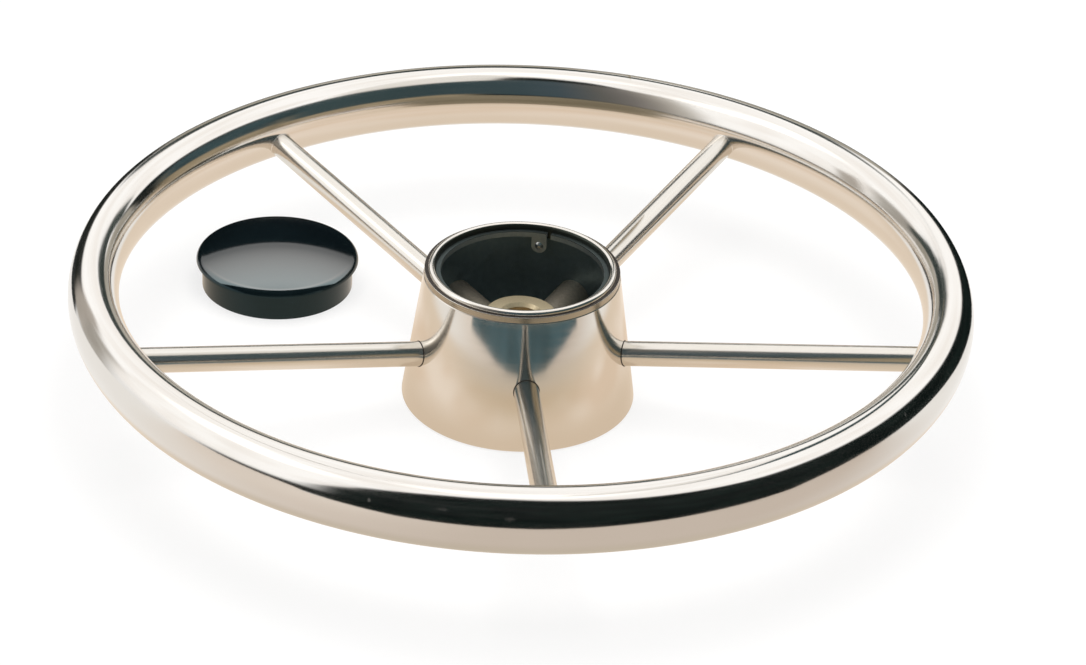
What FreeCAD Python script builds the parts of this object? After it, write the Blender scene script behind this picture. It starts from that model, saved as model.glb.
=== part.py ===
import FreeCAD, Part
import math
import os

# Stainless boat steering wheel. An oval tube rim is carried by five round tube spokes on a
# tapered boss, inside a spun conical shell that is open at the driver's side. A push-in cap
# covers the shaft nut; it is taken off and stands on its skirt beside the hub.
# Millimetres. The origin is the centre of the hub's base, +Z runs along the helm shaft
# towards the driver, and the front spoke points along -Y.

# Rim
wheel_diameter = 394.0
rim_width = 22.0  # of the tube, along the wheel's radius
rim_height = 29.3  # of the tube, along the shaft
rim_wall = 1.5
rim_plane_height = 52.5  # middle of the rim above the hub's base

# Spokes, round tubes that climb from the boss to the rim
spoke_names = ("front", "right", "rear_right", "rear_left", "left")
front_spoke_angle = -90.0
spoke_diameter = 11.0
spoke_wall = 1.5
spoke_root_height = 23.0  # spoke axis at the boss wall, above the hub's base
spoke_rim_drop = 4.3  # spoke axis at the rim, below the middle of the rim

# Sleeves round the spokes, between the boss and the shell
sleeve_wall = 2.4
sleeve_clearance = 0.1  # radial, round the spoke

# Hub shell, a spun cone with an upright collar, a rolled bead and a hem turned down inside
hub_base_diameter = 102.8
hub_height = 63.8  # top of the bead
shell_wall = 1.5
base_edge_radius = 0.8
collar_diameter = 85.4
collar_height = 2.8
collar_edge_radius = 0.25
crease_step = 0.3  # the cone stands this much outside the collar where they meet
crease_height = 0.3
bead_diameter = 3.4
mouth_diameter = 75.6  # inside the bead and the hem
hem_length = 4.4  # from the middle of the bead downwards
spoke_hole_clearance = 0.15  # radial, round the spoke

# Base plate, welded inside the shell's lower edge and round the boss
base_plate_thickness = 2.5
weld_gap = 0.05

# Taper boss for a helm shaft of 3/4 inch, 1 in 12
boss_diameter = 32.0
boss_height = 40.0
taper_large_diameter = 19.05
taper_ratio = 12.0
taper_mouth_chamfer = 1.5
boss_edge_chamfer = 0.8
keyway_width = 4.8
keyway_depth = 2.4
keyway_angle = -90.0

# Split ring that the cap sits on, with an eye hanging from one of its ends
seat_ring_clearance = 0.1
seat_ring_thickness = 2.0
seat_ring_height = 2.5
seat_ring_depth = 2.8  # its top below the top of the bead
ring_gap_angle = 67.5
ring_gap_width = 2.0
eye_width = 6.8
eye_drop = 4.4  # middle of the eye below the ring
eye_thickness = 1.0
stud_shank_diameter = 2.4
stud_hole_clearance = 0.1
stud_head_diameter = 3.8
stud_head_height = 0.9

# Centre cap, a moulded disc with a domed top and a skirt
cap_flange_clearance = 0.6
cap_skirt_clearance = 1.2
cap_skirt_height = 12.4
cap_wall = 2.0
cap_edge_radius = 3.0
cap_dome_rise = 4.0
cap_place = (-105.1, 97.9)

# Radii and heights that follow from the sizes above
rim_radius = (wheel_diameter - rim_width) / 2
rim_inner_radius = rim_radius - rim_width / 2
spoke_radius = spoke_diameter / 2
sleeve_bore_radius = spoke_radius + sleeve_clearance
sleeve_radius = sleeve_bore_radius + sleeve_wall
boss_radius = boss_diameter / 2
base_radius = hub_base_diameter / 2
collar_radius = collar_diameter / 2
mouth_radius = mouth_diameter / 2
bead_radius = bead_diameter / 2
bead_centre_height = hub_height - bead_radius
bead_centre_radius = mouth_radius + bead_radius
collar_top = bead_centre_height
cone_top = collar_top - collar_height - crease_height
cone_top_radius = collar_radius + crease_step
seat_ring_radius = mouth_radius - seat_ring_clearance
seat_bore_radius = seat_ring_radius - seat_ring_thickness
seat_ring_top = hub_height - seat_ring_depth
seat_ring_bottom = seat_ring_top - seat_ring_height

# Spoke axis in the plane of one spoke: from the boss wall out to the rim
spoke_root = FreeCAD.Vector(boss_radius, 0, spoke_root_height)
spoke_tip = FreeCAD.Vector(rim_inner_radius, 0, rim_plane_height - spoke_rim_drop)
spoke_direction = (spoke_tip - spoke_root).normalize()

origin = FreeCAD.Vector(0, 0, 0)
shaft_axis = FreeCAD.Vector(0, 0, 1)


def point(radius, height):
    return FreeCAD.Vector(radius, 0, height)


def line(start, end):
    return Part.LineSegment(start, end).toShape()


def arc(start, middle, end):
    return Part.Arc(start, middle, end).toShape()


def on_circle(centre, radius, angle):
    turn = math.radians(angle)
    return centre + point(radius * math.cos(turn), radius * math.sin(turn))


def turned(edges):
    """Solid turned about the shaft axis from a closed section in the XZ plane."""
    section = Part.Face(Part.Wire(Part.__sortEdges__(edges)))
    return section.revolve(origin, shaft_axis, 360)


def turned_polygon(points):
    closed = points + points[:1]
    return turned([line(a, b) for a, b in zip(closed, closed[1:])])


def about_shaft(shape, angle):
    copy = shape.copy()
    copy.rotate(origin, shaft_axis, angle)
    return copy


def cone_radius(height):
    """Outer radius of the conical wall at a height above the base."""
    return base_radius + (cone_top_radius - base_radius) * height / cone_top


def cone_wall_radial():
    """Thickness of the conical wall measured along the radius."""
    lean = math.atan2(base_radius - cone_top_radius, cone_top)
    return shell_wall / math.cos(lean)


def oval_section(width, height):
    """Oval of four tangent arcs at the rim's place: two ends on its long axis and two sides."""
    centre = point(rim_radius, rim_plane_height)
    along, across = (point(0, 1), point(1, 0)) if height > width else (point(1, 0), point(0, 1))
    half_long = max(width, height) / 2
    half_short = min(width, height) / 2
    chord = math.hypot(half_long, half_short)
    spare = half_long - half_short
    end_radius = (chord - spare) / 2 * chord / half_long
    join_long = half_long - end_radius + end_radius * half_short / chord
    join_short = end_radius * half_long / chord

    def on_oval(long_way, short_way):
        return centre + along * long_way + across * short_way

    corners = [
        on_oval(join_long, join_short),
        on_oval(join_long, -join_short),
        on_oval(-join_long, -join_short),
        on_oval(-join_long, join_short),
    ]
    middles = [
        on_oval(half_long, 0),
        on_oval(0, -half_short),
        on_oval(-half_long, 0),
        on_oval(0, half_short),
    ]
    arcs = [arc(corners[i], middles[i], corners[(i + 1) % 4]) for i in range(4)]
    return Part.Wire(arcs)


def oval_ring(width, height):
    """Solid ring of oval section round the shaft axis."""
    return Part.Face(oval_section(width, height)).revolve(origin, shaft_axis, 360)


def spoke_bar(radius, start, end):
    """Round bar along the spoke axis, between two distances from the boss wall."""
    foot = spoke_root + spoke_direction * start
    return Part.makeCylinder(radius, end - start, foot, spoke_direction)


def shell_inside():
    """Space inside the conical wall, as one solid cone."""
    wall = cone_wall_radial()
    return Part.makeCone(cone_radius(0) - wall, cone_top_radius - wall, cone_top)


def make_rim():
    outer = oval_ring(rim_width, rim_height)
    bore = oval_ring(rim_width - 2 * rim_wall, rim_height - 2 * rim_wall)
    return outer.cut(bore)


def make_spoke():
    """Tube with its root saddled on the boss and its tip saddled on the rim."""
    length = (spoke_tip - spoke_root).Length
    tube = spoke_bar(spoke_radius, -boss_radius, length + rim_width / 2)
    tube = tube.cut(spoke_bar(spoke_radius - spoke_wall, -boss_radius, length + rim_width / 2))
    tube = tube.cut(Part.makeCylinder(boss_radius, hub_height))
    return tube.cut(oval_ring(rim_width, rim_height))


def make_sleeve():
    """Thick tube round the spoke, saddled on the boss and on the inside of the shell."""
    sleeve = spoke_bar(sleeve_radius, -boss_radius, base_radius)
    sleeve = sleeve.cut(spoke_bar(sleeve_bore_radius, -boss_radius, base_radius))
    sleeve = sleeve.cut(Part.makeCylinder(boss_radius, hub_height))
    return sleeve.common(shell_inside())


def make_hub_shell():
    wall = cone_wall_radial()
    bead_centre = point(bead_centre_radius, bead_centre_height)
    bead_low = on_circle(bead_centre, bead_radius, 0)
    bead_high = on_circle(bead_centre, bead_radius, 90)
    bead_in = on_circle(bead_centre, bead_radius, 180)

    base_in = point(base_radius - wall, 0)
    edge = base_edge_radius * (1 - math.cos(math.pi / 4))
    edge_low = point(base_radius - base_edge_radius, 0)
    edge_mid = point(base_radius - edge, edge)
    edge_high = point(cone_radius(base_edge_radius), base_edge_radius)
    cone_end = point(cone_top_radius, cone_top)
    collar_low = point(collar_radius, cone_top + crease_height)
    edge_centre = point(collar_radius - collar_edge_radius, collar_top - collar_edge_radius)
    collar_high = on_circle(edge_centre, collar_edge_radius, 0)
    collar_turn = on_circle(edge_centre, collar_edge_radius, 45)
    collar_end = on_circle(edge_centre, collar_edge_radius, 90)

    hem_low = bead_centre_height - hem_length
    hem_inner = point(mouth_radius, hem_low)
    hem_outer = point(mouth_radius + shell_wall, hem_low)
    roof = bead_centre_height - shell_wall
    roof_hem = point(mouth_radius + shell_wall, roof)
    roof_collar = point(collar_radius - shell_wall, roof)
    collar_inner_low = point(collar_radius - shell_wall, cone_top + crease_height)
    cone_inner_end = point(cone_top_radius - wall, cone_top)

    shell = turned([
        line(base_in, edge_low),
        arc(edge_low, edge_mid, edge_high),
        line(edge_high, cone_end),
        line(cone_end, collar_low),
        line(collar_low, collar_high),
        arc(collar_high, collar_turn, collar_end),
        line(collar_end, bead_low),
        arc(bead_low, bead_high, bead_in),
        line(bead_in, hem_inner),
        line(hem_inner, hem_outer),
        line(hem_outer, roof_hem),
        line(roof_hem, roof_collar),
        line(roof_collar, collar_inner_low),
        line(collar_inner_low, cone_inner_end),
        line(cone_inner_end, base_in),
    ])
    hole = spoke_bar(spoke_radius + spoke_hole_clearance, 0, 2 * base_radius)
    for index in range(len(spoke_names)):
        shell = shell.cut(about_shaft(hole, spoke_angle(index)))
    return shell


def make_base_plate():
    wall = cone_wall_radial() + weld_gap
    return turned_polygon([
        point(boss_radius + weld_gap, 0),
        point(cone_radius(0) - wall, 0),
        point(cone_radius(base_plate_thickness) - wall, base_plate_thickness),
        point(boss_radius + weld_gap, base_plate_thickness),
    ])


def make_taper_boss():
    """Turned boss with a taper that is widest at the base, and a keyway that follows it."""
    large = taper_large_diameter / 2
    small = large - boss_height / (2 * taper_ratio)
    chamfer_low = large - (boss_height - taper_mouth_chamfer) / (2 * taper_ratio)
    boss = turned_polygon([
        point(large, 0),
        point(boss_radius, 0),
        point(boss_radius, boss_height - boss_edge_chamfer),
        point(boss_radius - boss_edge_chamfer, boss_height),
        point(small + taper_mouth_chamfer, boss_height),
        point(chamfer_low, boss_height - taper_mouth_chamfer),
    ])
    key_section = Part.makePolygon([
        point(0, 0),
        point(large + keyway_depth, 0),
        point(small + keyway_depth, boss_height),
        point(0, boss_height),
        point(0, 0),
    ])
    key = Part.Face(key_section).extrude(FreeCAD.Vector(0, keyway_width, 0))
    key.translate(FreeCAD.Vector(0, -keyway_width / 2, 0))
    return boss.cut(about_shaft(key, keyway_angle))


def eye_angle():
    """Angle of the middle of the eye, whose edge lines up with the ring's end."""
    middle_radius = seat_bore_radius + seat_ring_thickness / 2
    return ring_gap_angle + math.degrees((ring_gap_width + eye_width) / 2 / middle_radius)


def make_seat_ring():
    ring = turned_polygon([
        point(seat_bore_radius, seat_ring_bottom),
        point(seat_ring_radius, seat_ring_bottom),
        point(seat_ring_radius, seat_ring_top),
        point(seat_bore_radius, seat_ring_top),
    ])
    slot = Part.makeBox(
        2 * seat_ring_thickness + seat_ring_radius, ring_gap_width, hub_height,
        FreeCAD.Vector(0, -ring_gap_width / 2, 0),
    )
    ring = ring.cut(about_shaft(slot, ring_gap_angle))

    # The eye is cut from a short tube, so that it follows the ring's curve
    inner = seat_bore_radius + (seat_ring_thickness - eye_thickness) / 2
    eye_height = seat_ring_bottom - eye_drop
    sheet = Part.makeCylinder(inner + eye_thickness, hub_height)
    sheet = sheet.cut(Part.makeCylinder(inner, hub_height))
    outline = Part.makeBox(
        seat_ring_radius, eye_width, eye_drop + seat_ring_height / 2,
        FreeCAD.Vector(0, -eye_width / 2, eye_height),
    )
    along_radius = FreeCAD.Vector(1, 0, 0)
    eye_foot = FreeCAD.Vector(0, 0, eye_height)
    outline = outline.fuse(Part.makeCylinder(eye_width / 2, seat_ring_radius, eye_foot, along_radius))
    hole_radius = stud_shank_diameter / 2 + stud_hole_clearance
    outline = outline.cut(Part.makeCylinder(hole_radius, seat_ring_radius, eye_foot, along_radius))
    eye = about_shaft(sheet.common(outline), eye_angle())
    return ring.fuse(eye).removeSplitter()


def make_ring_stud():
    """Stud welded to the inside of the shell, with a domed head that holds the eye."""
    inner = seat_bore_radius + (seat_ring_thickness - eye_thickness) / 2
    height = seat_ring_bottom - eye_drop
    along_radius = FreeCAD.Vector(1, 0, 0)
    head_radius = stud_head_diameter / 2
    shank_start = FreeCAD.Vector(inner - stud_head_height / 2, 0, height)
    shank = Part.makeCylinder(stud_shank_diameter / 2, base_radius, shank_start, along_radius)
    shank = shank.common(shell_inside())
    dome_radius = (head_radius ** 2 + stud_head_height ** 2) / (2 * stud_head_height)
    dome_centre = FreeCAD.Vector(inner + dome_radius - stud_head_height, 0, height)
    dome = Part.makeSphere(dome_radius, dome_centre)
    head_box = Part.makeCylinder(
        head_radius, stud_head_height, FreeCAD.Vector(inner - stud_head_height, 0, height), along_radius
    )
    head = dome.common(head_box).common(Part.makeCylinder(inner, hub_height))
    return about_shaft(shank.fuse(head).removeSplitter(), eye_angle())


def make_centre_cap():
    """Cap standing on its skirt: flange with a rounded edge, domed top, hollow inside."""
    flange = mouth_radius - cap_flange_clearance
    skirt = seat_bore_radius - cap_skirt_clearance
    edge_centre = point(flange - cap_edge_radius, cap_skirt_height)
    edge_end = on_circle(edge_centre, cap_edge_radius, 90)
    apex = point(0, edge_end.z + cap_dome_rise)
    dome_radius = (edge_end.x ** 2 + cap_dome_rise ** 2) / (2 * cap_dome_rise)
    dome_centre = point(0, apex.z - dome_radius)

    def dome_point(radius, inset):
        reach = dome_radius - inset
        return dome_centre + point(radius, math.sqrt(reach ** 2 - radius ** 2))

    inside = skirt - cap_wall
    ceiling_edge = dome_point(inside, cap_wall)
    ceiling = dome_point(0, cap_wall)
    cap = turned([
        line(point(inside, 0), point(skirt, 0)),
        line(point(skirt, 0), point(skirt, cap_skirt_height)),
        line(point(skirt, cap_skirt_height), point(flange, cap_skirt_height)),
        arc(point(flange, cap_skirt_height), on_circle(edge_centre, cap_edge_radius, 45), edge_end),
        arc(edge_end, dome_point(edge_end.x / 2, 0), apex),
        line(apex, ceiling),
        arc(ceiling, dome_point(inside / 2, cap_wall), ceiling_edge),
        line(ceiling_edge, point(inside, 0)),
    ])
    cap.translate(FreeCAD.Vector(cap_place[0], cap_place[1], 0))
    return cap


def spoke_angle(index):
    return front_spoke_angle + index * 360.0 / len(spoke_names)


def make_nodes():
    nodes = {
        "rim_tube": make_rim(),
        "hub_shell": make_hub_shell(),
        "base_plate": make_base_plate(),
        "taper_boss": make_taper_boss(),
        "cap_seat_ring": make_seat_ring(),
        "ring_stud": make_ring_stud(),
        "centre_cap": make_centre_cap(),
    }
    spoke = make_spoke()
    sleeve = make_sleeve()
    for index, name in enumerate(spoke_names):
        nodes["spoke_" + name] = about_shaft(spoke, spoke_angle(index))
        nodes["sleeve_" + name] = about_shaft(sleeve, spoke_angle(index))
    return nodes


os.makedirs("parts", exist_ok=True)
for node_name, node_shape in make_nodes().items():
    node_shape.exportStep("parts/" + node_name + ".step")
    print(node_name, node_shape.isValid(), len(node_shape.Solids), round(node_shape.Volume, 1))
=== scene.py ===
import math
import bmesh
import bpy
import numpy as np
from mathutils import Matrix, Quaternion, Vector


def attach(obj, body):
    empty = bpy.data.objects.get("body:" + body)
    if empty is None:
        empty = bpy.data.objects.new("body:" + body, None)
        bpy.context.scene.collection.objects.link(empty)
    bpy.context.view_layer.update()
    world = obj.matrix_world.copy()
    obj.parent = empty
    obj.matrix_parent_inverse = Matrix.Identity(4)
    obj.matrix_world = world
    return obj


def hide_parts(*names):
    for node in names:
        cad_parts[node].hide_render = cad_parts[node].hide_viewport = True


# Stainless boat steering wheel. Metres, in the frame of the CAD model: the origin is the centre
# of the hub's base, +Z runs up the helm shaft and the front spoke points along -Y.
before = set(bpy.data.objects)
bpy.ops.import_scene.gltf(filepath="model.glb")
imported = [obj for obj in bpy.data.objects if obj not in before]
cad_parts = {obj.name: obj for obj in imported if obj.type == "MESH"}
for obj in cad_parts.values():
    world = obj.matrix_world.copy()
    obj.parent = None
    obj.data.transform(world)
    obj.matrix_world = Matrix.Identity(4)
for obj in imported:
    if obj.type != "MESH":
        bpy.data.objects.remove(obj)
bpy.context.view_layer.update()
print("frame loaded")


def colour(code):
    # sRGB hex to linear light, channel by channel
    channels = [int(code[i:i + 2], 16) / 255 for i in (1, 3, 5)]
    return [c / 12.92 if c <= 0.04045 else ((c + 0.055) / 1.055) ** 2.4 for c in channels] + [1.0]


def addNode(tree, kind, settings=None, inputs=None):
    # adds a node, sets its properties, and gives each input a value or another node's output
    node = tree.nodes.new(kind)
    for name, value in (settings or {}).items():
        setattr(node, name, value)
    for name, value in (inputs or {}).items():
        if isinstance(value, bpy.types.NodeSocket):
            tree.links.new(value, node.inputs[name])
        else:
            node.inputs[name].default_value = value
    return node


def compute(tree, operation, *values):
    node = addNode(tree, "ShaderNodeMath", {"operation": operation}, dict(enumerate(values)))
    return node.outputs[0]


def ramp(tree, value, fromRange, toRange=(0.0, 1.0), kind="LINEAR"):
    # takes a value from one range to another
    node = addNode(tree, "ShaderNodeMapRange", {"interpolation_type": kind},
                   {"Value": value, "From Min": fromRange[0], "From Max": fromRange[1],
                    "To Min": toRange[0], "To Max": toRange[1]})
    return node.outputs[0]


def passage(tree, value, fromRange):
    # from 0 to 1 across the range, with soft ends
    return ramp(tree, value, fromRange, kind="SMOOTHSTEP")


def noise(tree, place, scale, detail):
    # soft random pattern, with that many clouds to a unit of place
    node = addNode(tree, "ShaderNodeTexNoise", None,
                   {"Vector": place, "Scale": scale, "Detail": detail})
    return node.outputs["Fac"]


def blend(tree, share, first, second):
    # colour between two, each an sRGB code or another node's output
    ends = [colour(tone) if isinstance(tone, str) else tone for tone in (first, second)]
    node = addNode(tree, "ShaderNodeMix", {"data_type": "RGBA"},
                   {"Factor": share, 6: ends[0], 7: ends[1]})
    return node.outputs[2]


def newMaterial(name):
    material = bpy.data.materials.new(name)
    material.use_nodes = True
    material.node_tree.nodes.clear()
    return material, material.node_tree


def gridMesh(name, points, closedRows, closedColumns, uv=None):
    # points is rows x columns x 3. Each cell is one quad, wound so that rows x columns points out.
    # A closed direction joins its last line to its first.
    rows, columns = points.shape[:2]
    i, j = np.meshgrid(
        np.arange(rows if closedRows else rows - 1),
        np.arange(columns if closedColumns else columns - 1),
        indexing="ij",
    )
    corners = np.stack([[i, j], [i + 1, j], [i + 1, j + 1], [i, j + 1]], axis=-1).reshape(2, -1)
    index = (corners[0] % rows) * columns + corners[1] % columns
    mesh = bpy.data.meshes.new(name)
    mesh.vertices.add(rows * columns)
    mesh.vertices.foreach_set("co", points.astype(np.float32).ravel())
    mesh.loops.add(index.size)
    mesh.loops.foreach_set("vertex_index", index.astype(np.int32))
    mesh.polygons.add(index.size // 4)
    mesh.polygons.foreach_set("loop_start", np.arange(0, index.size, 4, dtype=np.int32))
    mesh.polygons.foreach_set("use_smooth", np.ones(index.size // 4, bool))
    if uv is not None:
        places = np.stack([uv[0][corners[0]], uv[1][corners[1]]], axis=-1)
        mesh.uv_layers.new(name="surface").data.foreach_set("uv", places.astype(np.float32).ravel())
    mesh.update(calc_edges=True)
    mesh.validate()
    piece = bpy.data.objects.new(name, mesh)
    bpy.context.scene.collection.objects.link(piece)
    return piece


def latheProfile(corners, perQuarter):
    # corners is a list of (radius, height, rounding). The path runs straight between corners, and
    # each rounding is an arc tangent to both of its lines, with perQuarter steps to a quarter turn.
    path = []
    count = len(corners)
    for k in range(count):
        here = np.array(corners[k][:2])
        back = np.array(corners[k - 1][:2]) - here
        ahead = np.array(corners[(k + 1) % count][:2]) - here
        back, ahead = back / np.linalg.norm(back), ahead / np.linalg.norm(ahead)
        opening = math.acos(np.clip(back @ ahead, -1, 1))
        size = corners[k][2]
        turn = math.pi - opening
        if size == 0 or turn < 1e-4:
            path.append(here[None])
            continue
        bisector = (back + ahead) / np.linalg.norm(back + ahead)
        centre = here + bisector * size / math.sin(opening / 2)
        start = here + back * size / math.tan(opening / 2) - centre
        side = np.sign(back[0] * ahead[1] - back[1] * ahead[0])
        steps = max(3, round(perQuarter * turn / (math.pi / 2)) + 1)
        sweep = np.linspace(0, turn, steps) * side
        c, s = np.cos(sweep), np.sin(sweep)
        arc = np.stack([c * start[0] + s * start[1], c * start[1] - s * start[0]], axis=-1)
        path.append(centre + arc)
    return np.concatenate(path)


def turnedPoints(path, count, centre=(0.0, 0.0)):
    # a profile of (radius, height) turned about the upright line through centre
    turn = np.linspace(0, 2 * np.pi, count, endpoint=False)[:, None]
    reach, level = path.T
    return np.stack([
        centre[0] + np.cos(turn) * reach,
        centre[1] + np.sin(turn) * reach,
        np.broadcast_to(level, (count, len(level))),
    ], axis=-1)


sharpAngle = math.radians(30)  # between faces, from which an edge is drawn sharp


def closePoles(piece):
    # the points that lie together at each end become one
    work = bmesh.new()
    work.from_mesh(piece.data)
    bmesh.ops.remove_doubles(work, verts=work.verts, dist=1e-6)
    bmesh.ops.recalc_face_normals(work, faces=work.faces)
    for edge in work.edges:
        if len(edge.link_faces) == 2 and edge.calc_face_angle() > sharpAngle:
            edge.smooth = False
    work.to_mesh(piece.data)
    work.free()


def finishPiece(piece, material, slot, *nodes):
    piece.data.materials.append(material)
    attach(piece, "root")
    if nodes:
        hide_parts(*nodes)


# The camera stands where the photograph's did
cameraPlace = {
    "eye": (-0.1286, -1.5642, 0.9446),
    "target": (0.0, 0.0, 0.0525),  # middle of the rim
    "roll": 2.305,  # degrees
    "lens": 137.13,  # millimetres
    "shift": (0.0196, -0.0409),  # share of the picture's width
}


def makeCamera():
    data = bpy.data.cameras.new("camera")
    data.lens = cameraPlace["lens"]
    data.shift_x, data.shift_y = cameraPlace["shift"]
    camera = bpy.data.objects.new("camera", data)
    aim = Vector(cameraPlace["target"]) - Vector(cameraPlace["eye"])
    roll = Quaternion((0, 0, 1), math.radians(cameraPlace["roll"]))
    camera.rotation_mode = "QUATERNION"
    camera.rotation_quaternion = aim.to_track_quat("-Z", "Y") @ roll
    camera.location = cameraPlace["eye"]
    bpy.context.scene.collection.objects.link(camera)
    bpy.context.scene.camera = camera


makeCamera()
print("camera made")


# Studio: white surroundings, a soft lamp overhead, a pale floor, and cards that only gloss sees
studio = {
    "fillStrength": 0.55,  # of the white surroundings, on matt surfaces
    "lampSize": 2.4,
    "lampPlace": (0.0, 0.3, 2.6),
    "lampPower": 62.0,
    "floorSize": 6.0,
    "floorDrop": 0.0003,
    "floorShadow": 0.25,  # share of the floor's white that the object's shadow can take
}


def makeWorld():
    world = bpy.data.worlds.new("studio")
    world.use_nodes = True
    tree = world.node_tree
    tree.nodes.clear()
    path = addNode(tree, "ShaderNodeLightPath")
    seen = compute(tree, "MAXIMUM", path.outputs["Is Camera Ray"], path.outputs["Is Glossy Ray"])
    seen = compute(tree, "MAXIMUM", seen, path.outputs["Is Transmission Ray"])
    strength = ramp(tree, seen, (0.0, 1.0), (studio["fillStrength"], 1.0))
    light = addNode(tree, "ShaderNodeBackground", None,
                    {"Color": colour("#FFFFFF"), "Strength": strength})
    addNode(tree, "ShaderNodeOutputWorld", None, {"Surface": light.outputs[0]})
    bpy.context.scene.world = world


def makeLamp():
    data = bpy.data.lights.new("overheadLamp", "AREA")
    data.shape = "SQUARE"
    data.size = studio["lampSize"]
    data.energy = studio["lampPower"]
    data.color = colour("#FFFDFA")[:3]
    lamp = bpy.data.objects.new("overheadLamp", data)
    lamp.location = studio["lampPlace"]
    lamp.visible_glossy = False
    bpy.context.scene.collection.objects.link(lamp)


def makeFloor():
    # pale paper: mostly its own white, so that it meets the background, and a soft shadow
    half = studio["floorSize"] / 2
    line = np.linspace(-half, half, 3)
    x, y = np.meshgrid(line, line, indexing="ij")
    floor = gridMesh("floor", np.stack([x, y, 0 * x - studio["floorDrop"]], axis=-1), False, False)
    material, tree = newMaterial("palePaper")
    white = addNode(tree, "ShaderNodeEmission", None, {"Color": colour("#FFFFFF")})
    matt = addNode(tree, "ShaderNodeBsdfDiffuse", None, {"Color": colour("#FFFFFF")})
    paper = addNode(tree, "ShaderNodeMixShader", None,
                    {0: studio["floorShadow"], 1: white.outputs[0], 2: matt.outputs[0]})
    clear = addNode(tree, "ShaderNodeBsdfTransparent")
    side = addNode(tree, "ShaderNodeNewGeometry")
    both = addNode(tree, "ShaderNodeMixShader", None,
                   {0: side.outputs["Backfacing"], 1: paper.outputs[0], 2: clear.outputs[0]})
    addNode(tree, "ShaderNodeOutputMaterial", None, {"Surface": both.outputs[0]})
    floor.data.materials.append(material)
    floor.visible_glossy = False


def makeCard(name, points, paint, softness=((0, 0), (0, 0)), strength=1.0):
    # A card that only polished metal and gloss see, and only from its front. softness is the share
    # of its width, then of its height, over which its edges fade: (first, last) and (low, high).
    rows, columns = points.shape[:2]
    uv = (np.linspace(1, 0, rows), np.linspace(0, 1, columns))
    card = gridMesh(name, points, False, False, uv)
    material, tree = newMaterial(name)
    place = addNode(tree, "ShaderNodeTexCoord")
    parts = addNode(tree, "ShaderNodeSeparateXYZ", None, {0: place.outputs["UV"]})
    side = addNode(tree, "ShaderNodeNewGeometry")
    cover = compute(tree, "SUBTRACT", 1.0, side.outputs["Backfacing"])
    for axis, widths in zip(("X", "Y"), softness):
        for edge, width in zip((0.0, 1.0), widths):
            if width > 0:
                fade = passage(tree, parts.outputs[axis], (edge, abs(edge - width)))
                cover = compute(tree, "MULTIPLY", cover, fade)
    glow = addNode(tree, "ShaderNodeEmission", None,
                   {"Color": paint(tree, place), "Strength": strength})
    clear = addNode(tree, "ShaderNodeBsdfTransparent")
    shade = addNode(tree, "ShaderNodeMixShader", None,
                    {0: cover, 1: clear.outputs[0], 2: glow.outputs[0]})
    addNode(tree, "ShaderNodeOutputMaterial", None, {"Surface": shade.outputs[0]})
    card.data.materials.append(material)
    for ray in ("camera", "diffuse", "shadow", "transmission"):
        setattr(card, "visible_" + ray, False)


def mottledPaint(code, otherCode, scale):
    # two tones in soft clouds, that many to a metre
    def paint(tree, place):
        cloud = noise(tree, place.outputs["Object"], scale, 2.0)
        return blend(tree, ramp(tree, cloud, (0.4, 0.65)), code, otherCode)
    return paint


def sweptPaint(shares, codes):
    # tones that follow each other round a card, each at its share of the card's width
    def paint(tree, place):
        parts = addNode(tree, "ShaderNodeSeparateXYZ", None, {0: place.outputs["UV"]})
        swept = addNode(tree, "ShaderNodeValToRGB", None, {"Fac": parts.outputs["X"]})
        stops = swept.color_ramp.elements
        for share, code in zip(shares[1:-1], codes[1:-1]):
            stops.new(share).color = colour(code)
        stops[0].color, stops[-1].color = colour(codes[0]), colour(codes[-1])
        return swept.outputs["Color"]
    return paint


def capHighlightPaint(tree, place):
    # painted highlight for the cap's dome, brighter towards the front of the wheel
    parts = addNode(tree, "ShaderNodeSeparateXYZ", None, {0: place.outputs["Object"]})
    return blend(tree, ramp(tree, parts.outputs["Y"], (0.105, 0.075)), "#7C7471", "#FFEAE2")


# Tones of the paper under the wheel, and where one passes into the next: a reach is a distance from
# the shaft, an ahead is a place along Y and an across is one along X
paperTones = {
    "inside": ("#FFF1E2", "#F1DCC6"),  # in blotches
    "insideBlotches": 14.0,  # to a metre
    # painted contact shade round the hub
    "byHub": "#E9D6C0",
    "byHubReach": (0.1, 0.055),
    # painted shade on the paper in front of the hub
    "beforeHub": "#D6C1A5",
    "beforeHubAhead": (-0.04, -0.14),
    "underRim": ("#F1E0CC", "#D3C7B7"),  # behind and in front
    "underRimReach": (0.12, 0.178),
    "outside": "#FFFDFA",  # behind
    # painted shade outside the rim in front
    "outsideFront": ("#F1E6DB", "#DACDC1"),  # left and right
    "outsideReach": (0.185, 0.22),
    "frontAhead": (-0.02, -0.2),
    "rightAcross": (-0.25, 0.0),
}


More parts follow.
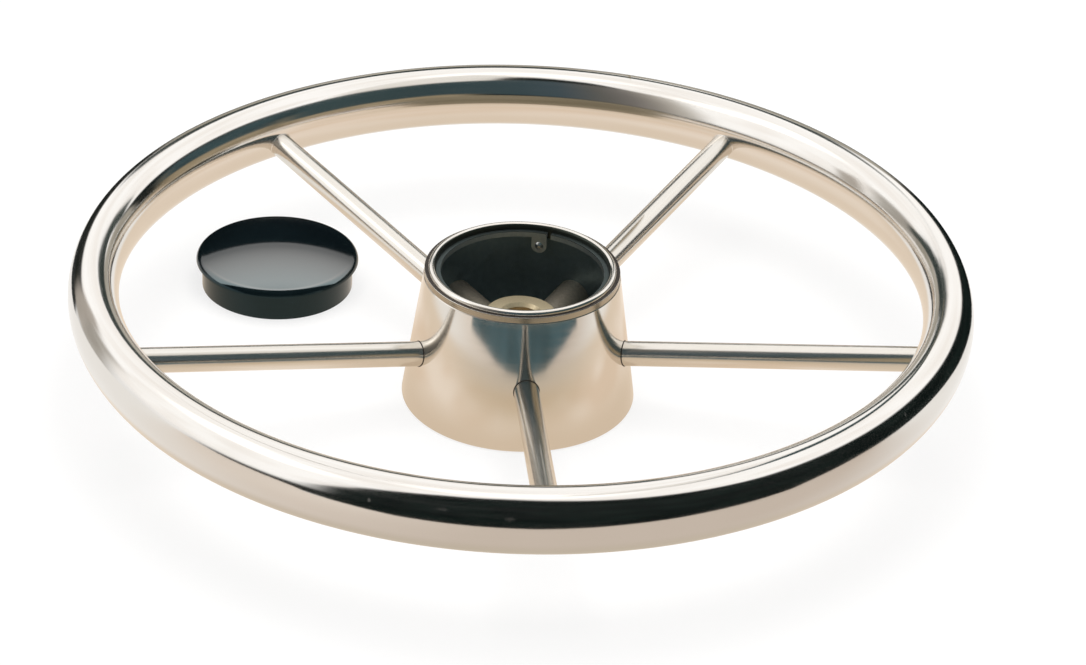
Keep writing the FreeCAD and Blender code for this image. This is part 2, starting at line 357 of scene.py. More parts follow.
def paperPaint(tree, place):
    # warm inside the wheel, with painted shade round the hub, in front of it and below the rim, and
    # outside it white behind and in painted shade in front
    point = place.outputs["Object"]
    flat = addNode(tree, "ShaderNodeVectorMath", {"operation": "MULTIPLY"},
                   {0: point, 1: (1.0, 1.0, 0.0)})
    length = addNode(tree, "ShaderNodeVectorMath", {"operation": "LENGTH"}, {0: flat.outputs[0]})
    parts = addNode(tree, "ShaderNodeSeparateXYZ", None, {0: point})
    reach, ahead, across = length.outputs["Value"], parts.outputs["Y"], parts.outputs["X"]
    forward = passage(tree, ahead, paperTones["frontAhead"])
    cloud = noise(tree, point, paperTones["insideBlotches"], 1.0)
    tone = blend(tree, ramp(tree, cloud, (0.38, 0.62)), *paperTones["inside"])
    tone = blend(tree, passage(tree, reach, paperTones["byHubReach"]), tone, paperTones["byHub"])
    before = passage(tree, ahead, paperTones["beforeHubAhead"])
    tone = blend(tree, before, tone, paperTones["beforeHub"])
    shade = blend(tree, forward, *paperTones["underRim"])
    tone = blend(tree, passage(tree, reach, paperTones["underRimReach"]), tone, shade)
    front = blend(tree, passage(tree, across, paperTones["rightAcross"]), *paperTones["outsideFront"])
    outside = blend(tree, forward, paperTones["outside"], front)
    return blend(tree, passage(tree, reach, paperTones["outsideReach"]), tone, outside)


# quads of the cards' grids
cardSteps = {
    "round": 180,
    "climb": 32,  # of a far card
    "up": 8,  # of a near one
    "along": 32,
    "flat": 8,
    "sheetRound": 360,
    "sheetOut": 24,
}


def spaced(name):
    return np.linspace(0, 1, cardSteps[name] + 1)


def sweptBand(azimuths, lows, highs, up):
    # azimuths in radians, and the levels between two edges, each edge one value or one per azimuth
    turn = np.linspace(azimuths[-1], azimuths[0], cardSteps["round"] + 1)
    low, high = (np.interp(turn, azimuths, np.broadcast_to(edge, len(azimuths)))[:, None]
                 for edge in (lows, highs))
    return np.radians(turn)[:, None], low + (high - low) * up


def bandPoints(azimuths, lows, highs, distance):
    # part of a sphere between two elevations, in degrees
    turn, level = sweptBand(azimuths, lows, highs, spaced("climb"))
    climb = np.radians(level)
    return distance * np.stack([
        np.cos(climb) * np.cos(turn), np.cos(climb) * np.sin(turn), np.sin(climb)], axis=-1)


def scrimPoints(azimuths, lows, highs, radius):
    # upright band on a cylinder round the shaft, between two heights
    turn, level = sweptBand(azimuths, lows, highs, spaced("up"))
    x, y = radius * np.cos(turn), radius * np.sin(turn)
    return np.stack([x + 0 * level, y + 0 * level, level], axis=-1)


def wallPoints(start, end, lows, highs):
    # upright band over a straight line, seen from the right of the way from start to end
    share = spaced("along")[:, None]
    low, high = (ends[0] + (ends[1] - ends[0]) * share for ends in (lows, highs))
    level = low + (high - low) * spaced("up")
    x, y = (first + (last - first) * share + 0 * level for first, last in zip(start, end))
    return np.stack([x, y, level], axis=-1)


def sheetPoints(azimuths, reaches, level):
    # level sheet from the shaft out to a reach given at some azimuths
    turn = np.linspace(azimuths[-1], azimuths[0], cardSteps["sheetRound"] + 1)
    reach = np.interp(turn, azimuths, reaches)[:, None] * spaced("sheetOut")
    turn = np.radians(turn)[:, None]
    return np.stack([reach * np.cos(turn), reach * np.sin(turn), 0 * reach + level], axis=-1)


def levelPoints(xRange, yRange, level):
    # level rectangle that faces down
    count = cardSteps["flat"] + 1
    y, x = np.meshgrid(np.linspace(*yRange, count), np.linspace(*xRange, count), indexing="ij")
    return np.stack([x, y, 0 * x + level], axis=-1)


# What the metal reflects. Azimuths are degrees from +X through +Y. The far cards are given by their
# elevation in degrees and stand for the room. The near ones are given by their height in metres:
# the left and the right of the rim look the same ways, and only near cards differ for the two.
# Bands and scrims have azimuths, lower edge, upper edge and distance from the origin, in this order.
farDistance = 6.0
screenRadius = 0.5  # of the screens behind the wheel
allRound = (-180, 180)
# height of the glowing card that paints the highlight into the cap's dome
capHighlightLevel = 0.024
whitePaint = mottledPaint("#FFFFFF", "#F4F1EE", 0.5)
brownPaint = mottledPaint("#A8997F", "#94866C", 30.0)
# dark paint of the cards round the cap's painted highlight: painted shade in its dome
dimPaint = mottledPaint("#0A1418", "#141F25", 20.0)
cards = {
    # the dark room in front of the wheel and to its right
    "room": {
        "points": bandPoints(
            (-150, -144, -136, -128, -121, -97, -73, -50, -27, -5, 16, 36, 46, 62, 72, 104), -25,
            (8, 12, 30, 54, 70, 79, 74, 60, 43, 39, 32, 22, 17, 14, 12, 9), farDistance),
        "paint": mottledPaint("#0A1312", "#141F1D", 0.9),
        "softness": ((0.06, 0.02), (0, 0.13)),
    },
    # its wall behind the wheel
    "backWall": {
        "points": bandPoints((98, 102, 117, 131), -25, (12, 12, 16, 18), farDistance * 0.96),
        "paint": mottledPaint("#1C201B", "#2A2D2D", 0.9),
        "softness": ((0.1, 0.1), (0, 0.16)),
    },
    # pale cloth behind it on the left
    "curtain": {
        "points": bandPoints((124, 159), -14, 26, farDistance * 0.99),
        "paint": mottledPaint("#BCB8B1", "#AEA9A1", 0.9),
        "softness": ((0.2, 0.35), (0.2, 0.3)),
    },
    # thin dark line on the left
    "horizon": {
        "points": bandPoints((-180, -135), -7, (4, 6), farDistance),
        "paint": mottledPaint("#141816", "#2A2D2D", 0.9),
        "softness": ((0.4, 0.05), (0, 0.35)),
    },
    # white over all of it, brighter overhead and where a window stands on the left
    "sky": {
        "points": bandPoints(allRound, -2, 90, farDistance * 1.2),
        "paint": whitePaint,
        "softness": ((0, 0), (0.12, 0)),
        "strength": 1.25,
    },
    "skylight": {
        "points": bandPoints(allRound, 72, 90, farDistance * 1.1),
        "paint": whitePaint,
        "softness": ((0, 0), (0.6, 0)),
        "strength": 1.6,
    },
    "window": {
        "points": bandPoints((-225, -140), 38, 62, farDistance),
        "paint": whitePaint,
        "softness": ((0.3, 0.3), (0.4, 0.4)),
        "strength": 2.2,
    },
    # the paper that the wheel stands on, cut where the rim sees past it
    "paper": {
        "points": sheetPoints(
            (-180, -155, -136, -115, -90, -59, -39, -13, 2, 10, 17, 27, 40,
             125, 135, 148, 156, 164, 172, 180),
            (3.0, 1.5, 0.54, 0.395, 0.376, 0.46, 0.49, 1.0, 0.65, 0.37, 0.3, 0.278, 0.28,
             0.3, 0.3, 0.305, 0.35, 0.7, 2.0, 3.0), -0.0002),
        "paint": paperPaint,
    },
    # blue-grey screen low inside the front of the rim, which the hub sees
    "lowScrim": {
        "points": scrimPoints(
            (-144, -137.4, -131.6, -124, -115, -105, -94, -80, -70.5, -61, -50, -43, -36),
            (0.023, 0.0193, 0.017, 0.0129, 0.0071, 0.0022, 0.0, 0.0, 0.0018, 0.0085, 0.0155,
             0.0197, 0.0222), 0.037, 0.186),
        "paint": mottledPaint("#4F6971", "#445A60", 30.0),
        "softness": ((0.02, 0.02), (0.08, 0)),
    },
    # high one from the left round the front to the right, from grey to teal, which the rear of the
    # rim sees above a brown dado
    "highScrim": {
        "points": scrimPoints(
            (-178, -152, -98, -60, -28, 14), (0.062, 0.062, 0.07, 0.1, 0.09, 0.085),
            (0.38, 0.46, 0.57, 0.47, 0.39, 0.3), 0.172),
        "paint": sweptPaint(
            (0, 0.1, 0.15, 0.2, 0.27, 0.36, 0.46, 0.59, 0.69, 1),
            ("#E5E2DC", "#C5C0B8", "#9A958E", "#7C7875", "#64635F", "#43525A", "#3A4C52",
             "#384A4F", "#34474B", "#3A4E51")),
        "softness": ((0.1, 0.04), (0.06, 0.25)),
    },
    "dado": {
        "points": scrimPoints((-80, -60, 14), (0.04, 0.03, 0.045), (0.12, 0.16, 0.16), 0.17286),
        "paint": brownPaint,
        "softness": ((0.2, 0.04), (0.2, 0)),
    },
    # the same two across the right half of the wheel, which the rear left of the rim sees
    "sideScrim": {
        "points": wallPoints((0.06, 0.2), (0.06, 0.065), (0.078, 0.082), (0.14, 0.21)),
        "paint": mottledPaint("#3C5257", "#37494D", 30.0),
        "softness": ((0.2, 0.3), (0.15, 0.35)),
    },
    "sideDado": {
        "points": wallPoints((0.062, 0.2), (0.062, 0.065), (0.015, 0.045), (0.12, 0.12)),
        "paint": brownPaint,
        "softness": ((0.2, 0.3), (0.3, 0)),
    },
    # white above the high screen on its right half, where the dark room would show over it
    "veil": {
        "points": scrimPoints((-80, 14), 0.25, 1.7, 0.174),
        "paint": mottledPaint("#FFFDF9", "#F6F2EC", 20.0),
        "softness": ((0.1, 0.04), (0.1, 0)),
    },
    # behind the wheel: a pale doorway under a dark lintel, which the sides of the rim see as a
    # bright and a dark line, and pale cloth beside it
    "doorway": {
        "points": scrimPoints(
            (52, 58, 64, 112, 117), 0, (0.1, 0.18, 0.22, 0.2, 0.16), screenRadius * 1.02),
        "paint": mottledPaint("#B8B3A8", "#A39E92", 6.0),
        "softness": ((0.1, 0.07), (0, 0.2)),
    },
    "lintel": {
        "points": scrimPoints(
            (60, 66, 76, 80, 84, 91, 98, 107, 112, 117, 122),
            (0.11, 0.19, 0.22, 0.2, 0.17, 0.16, 0.18, 0.16, 0.14, 0.12, 0.11),
            (0.3, 0.33, 0.345, 0.35, 0.34, 0.335, 0.325, 0.285, 0.25, 0.21, 0.18), screenRadius),
        "paint": mottledPaint("#3A4441", "#323B39", 6.0),
        "softness": ((0.1, 0.1), (0.15, 0.15)),
    },
    "drape": {
        "points": scrimPoints((141, 158), 0, (0.33, 0.24), screenRadius),
        "paint": mottledPaint("#C2BBB3", "#B3ACA3", 6.0),
        "softness": ((0.4, 0.3), (0, 0.2)),
    },
    # olive card round the back of the hub, turned outwards: painted shade on the hub as the rear spokes
    # and the rear of the rim reflect it
    "hubShade": {
        "points": scrimPoints((50, 130), 0.003, 0.0635, 0.0535)[::-1],
        "paint": mottledPaint("#9C917B", "#7D735F", 30.0),
        "softness": ((0.2, 0.2), (0, 0)),
    },
    # glowing card over the cap and under the rim, which is no lamp: a painted highlight in the cap's
    # dome, and dark cards round it as painted shade that the dome shows
    "capHighlightCard": {
        "points": levelPoints((-0.16, -0.055), (0.0694, 0.1095), capHighlightLevel),
        "paint": capHighlightPaint,
        "strength": 8.0,
    },
    "capHighlightShade_0": {
        "points": levelPoints((-0.21, 0.0), (0.1095, 0.4), capHighlightLevel),
        "paint": dimPaint,
    },
    "capHighlightShade_1": {
        "points": levelPoints((-0.16, -0.055), (0.02, 0.0694), capHighlightLevel),
        "paint": dimPaint,
    },
}

makeWorld()
makeLamp()
makeFloor()
for cardName, card in cards.items():
    makeCard(cardName, **card)
print("studio made")

# Materials. These values are for all the steel, in metres or in clouds to a metre.
steelLook = {
    "roughnessSwing": (0.8, 1.2),  # share of a material's roughness
    "tubeClouds": 22.0,
    "tubeSwim": 60.0,
    "tubeSwimDepth": 0.00003,
    "scuffGrain": 900.0,
    "scuffRoughness": 0.15,  # that a scuff adds
    # the split ring's darker top edge: how soft its lower boundary is, and its tone
    "darkTopFade": 0.0003,
    "darkTopTone": "#4A5352",
}


def unevenRoughness(tree, pattern, roughness):
    least, most = steelLook["roughnessSwing"]
    return ramp(tree, pattern, (0.3, 0.7), (roughness * least, roughness * most))


def finishMaterial(tree, relief, depth, inputs):
    # one shader with these inputs, and relief of that depth
    bump = addNode(tree, "ShaderNodeBump", None, {"Strength": 1.0, "Distance": depth, "Height": relief})
    shader = addNode(tree, "ShaderNodeBsdfPrincipled", None, {**inputs, "Normal": bump.outputs[0]})
    addNode(tree, "ShaderNodeOutputMaterial", None, {"Surface": shader.outputs[0]})


def dullScuffs(tree, place, rough, scuffs):
    # takes the gloss away at small ragged places, given by their way along and across the surface
    # and their length and width
    speckle = noise(tree, place.outputs["Object"], steelLook["scuffGrain"], 2.0)
    for along, across, length, width in scuffs:
        spot = addNode(tree, "ShaderNodeMapping", None,
                       {"Vector": place.outputs["UV"], "Scale": (1 / length, 1 / width, 0.0),
                        "Location": (-along / length, -across / width, 0.0)})
        away = addNode(tree, "ShaderNodeVectorMath", {"operation": "LENGTH"}, {0: spot.outputs[0]})
        ragged = compute(tree, "ADD", away.outputs["Value"], speckle)
        share = ramp(tree, ragged, (1.15, 0.85))
        rough = compute(tree, "MULTIPLY_ADD", share, steelLook["scuffRoughness"], rough)
    return rough


def polishedStainless(name, code, shadeCode, roughness, lines, scuffs=()):
    # Stainless tube and sheet, buffed bright: near-neutral, with faint buffing lines and a slight
    # swim in what it reflects. lines are the scales of the buffing pattern.
    material, tree = newMaterial(name)
    place = addNode(tree, "ShaderNodeTexCoord")
    stretched = addNode(tree, "ShaderNodeMapping", None,
                        {"Vector": place.outputs["UV"], "Scale": lines})
    rough = unevenRoughness(tree, noise(tree, stretched.outputs[0], 1.0, 3.0), roughness)
    if scuffs:
        rough = dullScuffs(tree, place, rough, scuffs)
    cloud = noise(tree, place.outputs["Object"], steelLook["tubeClouds"], 2.0)
    swim = noise(tree, place.outputs["Object"], steelLook["tubeSwim"], 1.0)
    finishMaterial(tree, swim, steelLook["tubeSwimDepth"], {
        "Base Color": blend(tree, cloud, code, shadeCode), "Metallic": 1.0, "Roughness": rough})
    return material


def plainSteel(name, code, shadeCode, roughness, grain, depth, bareness=1.0, darkTopLine=None):
    # Stainless left as it came from the mill, the lathe or the torch, with grain of that size.
    # bareness is the share of it that isn't under a matt film of oil and dust.
    # Where a last height is given, it is darker above that height.
    material, tree = newMaterial(name)
    place = addNode(tree, "ShaderNodeTexCoord")
    speckle = noise(tree, place.outputs["Object"], 1 / grain, 4.0)
    tone = blend(tree, speckle, code, shadeCode)
    # darker above that height
    if darkTopLine is not None:
        parts = addNode(tree, "ShaderNodeSeparateXYZ", None, {0: place.outputs["Object"]})
        darkTopShare = ramp(tree, parts.outputs["Z"], (darkTopLine - steelLook["darkTopFade"], darkTopLine))
        tone = blend(tree, darkTopShare, tone, steelLook["darkTopTone"])
    rough = unevenRoughness(tree, speckle, roughness)
    finishMaterial(tree, speckle, depth, {
        "Base Color": tone, "Metallic": bareness, "Roughness": rough})
    return material


def mouldedPlastic(name, code, shadeCode, roughnessRange, grain, depth):
    # ABS moulded in a polished tool: deep black, wet gloss, with a faint orange-peel swim
    material, tree = newMaterial(name)
    place = addNode(tree, "ShaderNodeTexCoord")
    cloud = noise(tree, place.outputs["Object"], 1 / grain, 3.0)
    finishMaterial(tree, cloud, depth, {
        "Base Color": blend(tree, cloud, code, shadeCode),
        "Roughness": ramp(tree, cloud, (0.0, 1.0), roughnessRange),
        "Specular IOR Level": 0.7,
        # the blue-grey specular tint is painted shade: it cools the warm paper that the skirt reflects,
        # as the cap's own shadow on it would
        "Specular Tint": colour("#9CC2CC"),
    })
    return material


# the marks in the rim's front: way round the ring, way across the tube, length and width in metres
rimScuffs = [
    (0.8062, 0.0051, 0.0014, 0.0010),
    (0.8345, 0.0058, 0.0050, 0.0008),
    (0.8600, 0.0045, 0.0036, 0.0012),
    (0.8688, 0.0063, 0.0010, 0.0006),
    (1.0416, 0.0073, 0.0013, 0.0013),
]
tubeSteel = polishedStainless("buffedTube", "#E7E4E0", "#E1DDD7", 0.11, (20.0, 900.0, 1.0), rimScuffs)
spokeSteel = polishedStainless("lengthwiseBuffedTube", "#E4E0DA", "#DAD5CC", 0.21, (40.0, 1600.0, 1.0))
hubSteel = polishedStainless("buffedSpinning", "#E6E2DC", "#DFDAD2", 0.11, (20.0, 300.0, 1.0))
# the collar is satin, and its darker tone is painted shade under the bead
collarShadeSteel = polishedStainless("satinCollarPaintedShade", "#B5AC9C", "#A39A8A", 0.25, (20.0, 1600.0, 1.0))
# the inside of the hub is dull, and its dark blue-grey tone is painted shade in the hollow
innerShadeSteel = plainSteel("dullSpunInsidePaintedShade", "#82959B", "#6B7D83", 0.42, 0.004, 0.00002, 0.93)
# dark tone that is painted shade: in the gap round each spoke where it enters the hub, and on the ledge
# under the bead
seamShadeSteel = plainSteel("seamPaintedShade", "#5A544F", "#3C3835", 0.5, 0.0006, 0.00005)
weldSteel = plainSteel("hotWeldedStainless", "#A08A62", "#5C554A", 0.35, 0.0006, 0.0001, 0.85)
sleeveSteel = plainSteel("millFinishStainless", "#B9B09F", "#8E877B", 0.42, 0.0012, 0.00006, 0.8)
turnedSteel = plainSteel("turnedStainless", "#DFCFAE", "#C2B390", 0.36, 0.0008, 0.00002, 0.8)
# the hem inside the mouth is dull, and its near-black tone is painted shade
hemShadeSteel = plainSteel("dullHemPaintedShade", "#4B504A", "#3D423D", 0.4, 0.004, 0.00002)
# the split ring is darker on its top edge, above 60.9 mm
springSteel = plainSteel("springSteelDarkerTop", "#A3ABA9", "#8B9391", 0.38, 0.001, 0.00002, 0.85, 0.0609)
studSteel = plainSteel("brightRivet", "#D5D8D6", "#B5B9B7", 0.22, 0.001, 0.00001)
plateSteel = plainSteel("groundStainless", "#A9ACA8", "#8F928E", 0.5, 0.0009, 0.00003, 0.85)
capPlastic = mouldedPlastic("glossMouldedAbs", "#0A1215", "#0E181B", (0.11, 0.17), 1 / 120, 0.00002)
print("materials made")


# Rim: one ring of oval tube. The oval is four tangent arcs, ends of a small radius and sides of a
# large one, and each point of it is given by the direction of its outward normal.
rim = {
    "radius": 0.186,  # of the tube's middle
    "height": 0.0525,
    "halfWidth": 0.011,
    "halfHeight": 0.01465,
    "stepsRound": 720,
    "stepsAcross": 112,
    "girth": 0.081,  # of the tube, for its surface pattern
    "ripple": 0.00002,  # greatest depth of the waves that bending left in the tube
    "ripples": (17, 29),  # round the ring
}


def ovalArcs():
    long, short = rim["halfHeight"], rim["halfWidth"]
    chord = math.hypot(long, short)
    endRadius = (chord - (long - short)) / 2 * chord / long
    endCentre = long - endRadius
    joinLong = endCentre + endRadius * short / chord
    joinShort = endRadius * long / chord
    # the sides' centre lies on the line from the join through the end's centre, beyond the middle
    sideCentre = endCentre * joinShort / (joinLong - endCentre)
    sideRadius = short + sideCentre
    return endRadius, endCentre, sideRadius, sideCentre, chord


def ovalPoint(direction):
    # point of the section whose outward normal has this angle above the radius
    endRadius, endCentre, sideRadius, sideCentre, chord = ovalArcs()
    across, along = np.cos(direction), np.sin(direction)
    onEnd = np.abs(along) > rim["halfWidth"] / chord
    width = np.where(onEnd, endRadius * across, sideRadius * across - sideCentre * np.sign(across))
    height = np.where(onEnd, endRadius * along + endCentre * np.sign(along), sideRadius * along)
    return width, height


def ovalDistance(points):
    # how far points lie outside the rim's surface, less than 0 inside it
    endRadius, endCentre, sideRadius, sideCentre, chord = ovalArcs()
    width = np.abs(np.hypot(points[..., 0], points[..., 1]) - rim["radius"])
    height = np.abs(points[..., 2] - rim["height"])
    nearEnd = (height - endCentre) * rim["halfHeight"] > width * rim["halfWidth"]
    return np.where(
        nearEnd,
        np.hypot(width, height - endCentre) - endRadius,
        np.hypot(width + sideCentre, height) - sideRadius,
    )


def makeRim():
    turn = np.linspace(0, 2 * np.pi, rim["stepsRound"], endpoint=False)
    direction = np.linspace(0, 2 * np.pi, rim["stepsAcross"], endpoint=False)
    width, height = ovalPoint(direction)
    # wave runs from -2 to 2, and the ripple only takes metal away, so the ring keeps its size
    few, many = rim["ripples"]
    wave = (np.sin(few * turn)[:, None] * np.cos(2 * direction)
            + np.sin(many * turn + 1)[:, None] * np.sin(direction))
    sink = rim["ripple"] * (0.5 + 0.25 * wave)
    reach = rim["radius"] + width - sink * np.cos(direction)
    level = rim["height"] + height - sink * np.sin(direction)
    points = np.stack([reach * np.cos(turn)[:, None], reach * np.sin(turn)[:, None], level], axis=-1)
    uv = (np.arange(rim["stepsRound"] + 1) * 2 * np.pi * rim["radius"] / rim["stepsRound"],
          np.linspace(0, rim["girth"], rim["stepsAcross"] + 1))
    ring = gridMesh("rim", points, True, True, uv)
    finishPiece(ring, tubeSteel, "polished_stainless", "rim_tube")


makeRim()
print("rim made")

# Spokes: round tubes from the boss to the rim, cut at each end to the shape they meet
spoke = {
    "names": ("front", "right", "rear_right", "rear_left", "left"),
    "frontTurn": -90.0,  # degrees
    "radius": 0.0055,
    "rootRadius": 0.016,  # of the boss
    "rootHeight": 0.023,
    "tipRadius": 0.175,
    "tipHeight": 0.0482,
    "sunk": 0.0003,  # into what they are welded to
    "length": 0.16,  # for the surface pattern
    "bossSearch": (-0.014, 0.03),  # where along the axis each surface is looked for
    "hubSearch": (0.0, 0.06),
    "rimSearch": (0.12, 0.172),
    "stepsRound": 64,
    "stepsAlong": 40,
}


def spokeFrame():
    # start of the axis at the boss, its direction, and two directions across it, in the spoke's plane
    start = np.array([spoke["rootRadius"], 0, spoke["rootHeight"]])
    along = np.array([spoke["tipRadius"], 0, spoke["tipHeight"]]) - start
    along = along / np.linalg.norm(along)
    up = np.array([-along[2], 0, along[0]])
    return start, along, up, np.array([0.0, 1.0, 0.0])


def whereMeets(starts, along, search, distance):
    # place along each line where the distance function changes sign, found by halving
    low, high = (np.full(len(starts), end) for end in search)
    lowSign = np.sign(distance(starts + along * low[:, None]))
    for _ in range(40):
        middle = (low + high) / 2
        same = np.sign(distance(starts + along * middle[:, None])) == lowSign
        low, high = np.where(same, middle, low), np.where(same, high, middle)
    return (low + high) / 2


def turnAboutShaft(points, degrees):
    c, s = math.cos(math.radians(degrees)), math.sin(math.radians(degrees))
    x, y, z = np.moveaxis(points, -1, 0)
    return np.stack([c * x - s * y, s * x + c * y, z], axis=-1)


def spokeTurn(index):
    return spoke["frontTurn"] + 360 / len(spoke["names"]) * index


def linesRoundSpoke(radius, count):
    # starts of lines parallel to the spoke, evenly round it, and the way out from it at each
    start, along, up, side = spokeFrame()
    angle = np.linspace(0, 2 * np.pi, count, endpoint=False)
    out = np.cos(angle)[:, None] * up + np.sin(angle)[:, None] * side
    return start + radius * out, out, along


def bossDistance(points):
    return np.hypot(points[..., 0], points[..., 1]) - spoke["rootRadius"]


def makeSpokes():
    starts, out, along = linesRoundSpoke(spoke["radius"], spoke["stepsRound"])
    near = whereMeets(starts, along, spoke["bossSearch"], bossDistance) - spoke["sunk"]
    far = whereMeets(starts, along, spoke["rimSearch"], ovalDistance) + spoke["sunk"]
    share = np.linspace(0, 1, spoke["stepsAlong"])
    places = near + (far - near) * share[:, None]
    wall = starts + along * places[..., None]
    tip = np.broadcast_to(wall[-1].mean(axis=0), wall[:1].shape)
    root = np.broadcast_to(wall[0].mean(axis=0), wall[:1].shape)
    points = np.concatenate([root, wall, tip])
    uv = (np.linspace(0, spoke["length"], len(points)),
          np.linspace(0, 2 * np.pi * spoke["radius"], spoke["stepsRound"] + 1))
    for index, name in enumerate(spoke["names"]):
        tube = gridMesh("spokeTube_" + name, turnAboutShaft(points, spokeTurn(index)), False, True, uv)
        closePoles(tube)
        finishPiece(tube, spokeSteel, "polished_stainless", "spoke_" + name)


makeSpokes()
print("spokes made")

# Hub: spun cone, collar and a mouth rolled to a bead, then hemmed inwards
hub = {
    "baseRadius": 0.0514,
    "coneTop": (0.043, 0.059),
    "collarRadius": 0.0427,
    "collarBottom": 0.0593,
    "collarTop": 0.0621,
    "beadOuter": 0.0412,
    "mouthRadius": 0.0378,
    "top": 0.0638,
    "hemBottom": 0.0577,
    "wall": 0.0015,
    "footRounding": 0.0008,
    "stepRounding": 0.0002,
    "collarRounding": 0.00025,
    "beadRounding": 0.0017,
    "hemRounding": 0.0003,
    "girth": 0.3,  # for the surface pattern, as is the length of the profile
    "profileLength": 0.15,
    "stepsRound": 288,
    "stepsPerQuarter": 10,  # of each rounding
}


def hubProfile():
    wall = hub["wall"]
    inner = hub["baseRadius"] - wall
    shelf = hub["collarTop"] - wall
    return [
        (inner, 0.0, 0.0),
        (hub["baseRadius"], 0.0, hub["footRounding"]),
        (*hub["coneTop"], hub["stepRounding"]),
        (hub["collarRadius"], hub["collarBottom"], hub["stepRounding"]),
        (hub["collarRadius"], hub["collarTop"], hub["collarRounding"]),
        (hub["beadOuter"], hub["collarTop"], 0.0),
        (hub["beadOuter"], hub["top"], hub["beadRounding"]),
        (hub["mouthRadius"], hub["top"], hub["beadRounding"]),
        (hub["mouthRadius"], hub["hemBottom"], hub["hemRounding"]),
        (hub["mouthRadius"] + wall, hub["hemBottom"], hub["hemRounding"]),
        (hub["mouthRadius"] + wall, shelf, 0.0),
        (hub["collarRadius"] - wall, shelf, 0.0),
        (hub["collarRadius"] - wall, hub["collarBottom"], 0.0),
        (hub["coneTop"][0] - wall, hub["coneTop"][1], 0.0),
    ]


def makeHub():
    path = latheProfile(hubProfile(), hub["stepsPerQuarter"])
    length = np.cumsum(np.hypot(*np.diff(path, axis=0).T))
    uv = (np.linspace(0, hub["girth"], hub["stepsRound"] + 1),
          np.concatenate([[0], length, [hub["profileLength"]]]))
    shell = gridMesh("hubShell", turnedPoints(path, hub["stepsRound"]), True, True, uv)
    shell.data.set_sharp_from_angle(angle=sharpAngle)
    finishPiece(shell, hubSteel, "polished_stainless", "hub_shell")
    for material in (innerShadeSteel, seamShadeSteel, collarShadeSteel, hemShadeSteel):
        shell.data.materials.append(material)
    # Each face's finish follows from where its part of the profile lies and which way it looks:
    # the hem, the wall's inside, the ledge between collar and bead, and the collar, whose darker tones
    # are painted shade
    step = np.roll(path, -1, axis=0) - path
    middle = path + step / 2
    outward, upward = np.array([step[:, 1], -step[:, 0]]) / np.hypot(*step.T)
    inside = (outward < -0.6) | ((upward < -0.5) & (middle[:, 1] > 0.001))
    crease = (upward > 0.9) & (middle[:, 0] > hub["beadOuter"])
    collar = (outward > 0.9) & (middle[:, 1] > hub["collarBottom"]) & (middle[:, 1] < hub["collarTop"])
    hem = inside & (middle[:, 0] < hub["mouthRadius"] + hub["wall"] / 2)
    finish = np.tile(np.select([hem, inside, crease, collar], [4, 1, 2, 3], 0), hub["stepsRound"])
    shell.data.polygons.foreach_set("material_index", finish.astype(np.int32))


makeHub()
print("hub made")

# Centre cap: moulded disc with a domed top and a rounded flange on a skirt
cap = {
    "centre": (-0.1051, 0.0979),
    "skirtRadius": 0.0345,
    "flangeRadius": 0.0372,
    "flangeHeight": 0.0124,
    "edgeRadius": 0.003,
    "domeRise": 0.004,
    "wall": 0.002,
    "stepsRound": 192,
    "stepsDome": 40,
    "stepsEdge": 14,
}


def capProfile():
    # skirt, flange, rounded edge and dome outside, then dome and skirt inside
    corner = cap["flangeRadius"] - cap["edgeRadius"]
    rise = cap["domeRise"]
    domeRadius = (corner ** 2 + rise ** 2) / (2 * rise)
    crown = cap["flangeHeight"] + cap["edgeRadius"] + rise
    edgeTurn = np.linspace(0, np.pi / 2, cap["stepsEdge"])
    edge = np.stack([corner + cap["edgeRadius"] * np.cos(edgeTurn),
                     cap["flangeHeight"] + cap["edgeRadius"] * np.sin(edgeTurn)], axis=-1)
    reach = np.linspace(corner, 0, cap["stepsDome"])[1:]
    centre = crown - domeRadius
    dome = np.stack([reach, centre + np.sqrt(domeRadius ** 2 - reach ** 2)], axis=-1)
    inside = cap["skirtRadius"] - cap["wall"]
    innerReach = np.linspace(0, inside, cap["stepsDome"])
    innerRadius = domeRadius - cap["wall"]
    ceiling = np.stack([innerReach, centre + np.sqrt(innerRadius ** 2 - innerReach ** 2)], axis=-1)
    skirt = [[cap["skirtRadius"], 0.0], [cap["skirtRadius"], cap["flangeHeight"]]]
    return np.concatenate([skirt, edge, dome, ceiling, [[inside, 0.0]]])


def makeCap():
    points = turnedPoints(capProfile(), cap["stepsRound"], cap["centre"])
    lid = gridMesh("centreCap", points, True, True)
    closePoles(lid)
    lid.visible_glossy = False  # the metal shows no picture of it
    finishPiece(lid, capPlastic, "black_plastic", "centre_cap")


makeCap()
print("cap made")

# Welds: thin beads that follow the line where two pieces meet
weld = {
    # the hub seam is a thin dark bead that paints the shade in the gap round each spoke
    "hubSeam": 0.00028,
    "rimBead": 0.0003,
    "bossBead": 0.0009,
    "bossBeadTurn": 0.008,  # radius of its path round the spoke, at the sleeve's wall
    "ripple": 0.08,  # share of a bead's thickness
    "ripples": 40,  # along a bead
    "stepsAlong": 160,
    "stepsRound": 12,
}


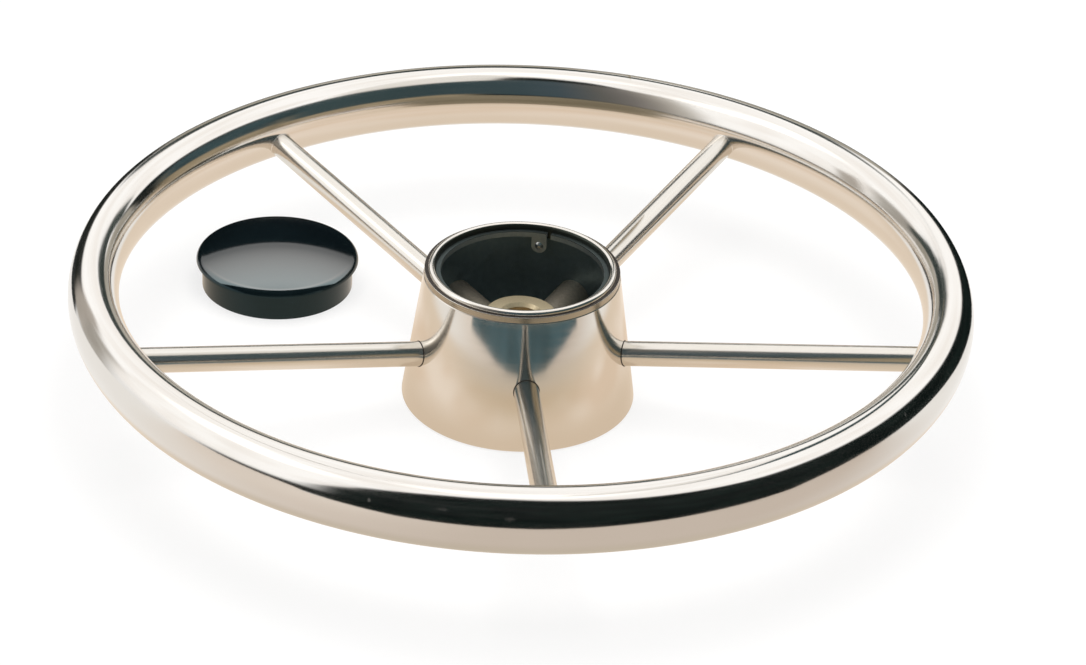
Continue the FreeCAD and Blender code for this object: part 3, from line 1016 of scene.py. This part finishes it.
def makeBead(name, path, out, radius, material):
    # closed tube of this radius along a closed path, with a faint ripple in its thickness
    ahead = np.roll(path, -1, axis=0) - np.roll(path, 1, axis=0)
    ahead = ahead / np.linalg.norm(ahead, axis=1, keepdims=True)
    side = np.cross(ahead, out)
    side = side / np.linalg.norm(side, axis=1, keepdims=True)
    out = np.cross(side, ahead)
    angle = np.linspace(0, 2 * np.pi, weld["stepsRound"], endpoint=False)
    ring = np.cos(angle)[None, :, None] * out[:, None] + np.sin(angle)[None, :, None] * side[:, None]
    wave = np.sin(np.arange(len(path)) * 2 * np.pi * weld["ripples"] / len(path))
    ripple = 1 + weld["ripple"] * wave
    points = path[:, None] + ring * (radius * ripple)[:, None, None]
    bead = gridMesh(name, points, True, True)
    closePoles(bead)
    finishPiece(bead, material, "polished_stainless")


def coneDistance(points):
    top = hub["coneTop"]
    wall = hub["baseRadius"] + (top[0] - hub["baseRadius"]) * points[..., 2] / top[1]
    return np.hypot(points[..., 0], points[..., 1]) - wall


def makeWelds():
    starts, out, along = linesRoundSpoke(spoke["radius"], weld["stepsAlong"])
    atHub = starts + along * whereMeets(starts, along, spoke["hubSearch"], coneDistance)[:, None]
    atRim = starts + along * whereMeets(starts, along, spoke["rimSearch"], ovalDistance)[:, None]
    starts, wideOut, along = linesRoundSpoke(weld["bossBeadTurn"], weld["stepsAlong"])
    atBoss = starts + along * whereMeets(starts, along, spoke["bossSearch"], bossDistance)[:, None]
    for index, name in enumerate(spoke["names"]):
        turn = spokeTurn(index)
        # dark bead at the hub: painted shade in the gap round the spoke
        makeBead("hubSeam_" + name, turnAboutShaft(atHub, turn), turnAboutShaft(out, turn),
                 weld["hubSeam"], seamShadeSteel)
        makeBead("rimWeld_" + name, turnAboutShaft(atRim, turn), turnAboutShaft(out, turn),
                 weld["rimBead"], tubeSteel)
        makeBead("bossWeld_" + name, turnAboutShaft(atBoss, turn), turnAboutShaft(wideOut, turn),
                 weld["bossBead"], weldSteel)


makeWelds()
print("welds made")

# The CAD nodes that stay get their finish
finishes = {
    "base_plate": plateSteel,
    "taper_boss": turnedSteel,
    "cap_seat_ring": springSteel,
    "ring_stud": studSteel,
}
for sleeveName in spoke["names"]:
    finishes["sleeve_" + sleeveName] = sleeveSteel
for nodeName, finish in finishes.items():
    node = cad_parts[nodeName]
    node.data.materials.clear()
    node.data.materials.append(finish)
print("frame nodes finished")

bpy.context.scene.view_settings.view_transform = "Standard"
